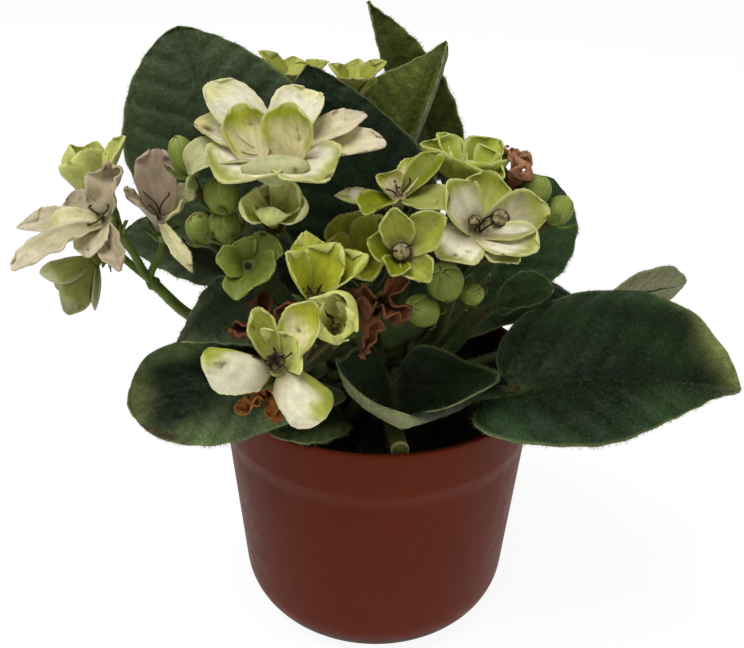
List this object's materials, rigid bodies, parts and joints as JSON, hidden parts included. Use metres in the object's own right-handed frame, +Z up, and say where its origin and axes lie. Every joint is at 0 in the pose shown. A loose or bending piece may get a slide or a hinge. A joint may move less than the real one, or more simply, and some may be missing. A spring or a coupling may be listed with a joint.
{
  "type": "potted african violet",
  "caption": "Miniature African violet with round fuzzy leaves and clusters of green and white half-open flowers, in a small tapered plastic pot.",
  "frame": {"origin": "centre of the pot's flat bottom, on the ground", "axes": "+Z up along the pot's axis; the side of the plant seen in the picture faces -Y"},
  "size_m": [0.1415, 0.1205, 0.13],
  "materials": {
    "terracotta_plastic": "satin terracotta-brown moulded plastic",
    "soil": "dark crumbly peat compost",
    "leaf": "dark green hairy leaf with a pale underside",
    "stem": "fresh green hairy stem",
    "petal_white": "white petal with a green edge",
    "petal_green": "yellow-green petal",
    "withered": "dry brown petal and stamen"
  },
  "bodies": {
    "root": {"bloom_back_left": "petal_green", "bloom_back_right": "petal_green", "bloom_centre": "petal_green", "bloom_centre_back": "petal_green", "bloom_cup": "petal_green", "bloom_faded": "petal_white", "bloom_left_low": "petal_green", "bloom_left_old": "petal_white", "bloom_left_top": "petal_green", "bloom_low": "petal_white", "bloom_middle": "petal_green", "bloom_right_green": "petal_green", "bloom_right_white": "petal_white", "bloom_small_cup": "petal_green", "bloom_top_left": "petal_white", "bloom_top_right": "petal_green", "bloom_under_left": "petal_green", "crown": "stem", "cut_petiole": "stem", "leaf_back": "leaf", "leaf_back_fold": "leaf", "leaf_back_left": "leaf", "leaf_back_low_left": "leaf", "leaf_back_low_right": "leaf", "leaf_back_mid": "leaf", "leaf_back_tall": "leaf", "leaf_far_right": "leaf", "leaf_front": "leaf", "leaf_left": "leaf", "leaf_left_front": "leaf", "leaf_left_mid": "leaf", "leaf_low_front": "leaf", "leaf_right_back": "leaf", "leaf_right_front": "leaf", "leaf_young_right": "leaf", "pot": "terracotta_plastic", "soil": "soil", "stalk_back": "stem", "stalk_far_left": "stem", "stalk_front": "stem", "stalk_left": "stem", "stalk_middle": "stem", "stalk_right": "stem", "stamens_centre": "withered", "stamens_low": "withered", "stamens_right": "withered", "withered_left": "withered", "withered_low": "withered", "withered_middle": "withered", "withered_right": "withered"}
  },
  "joints": []
}
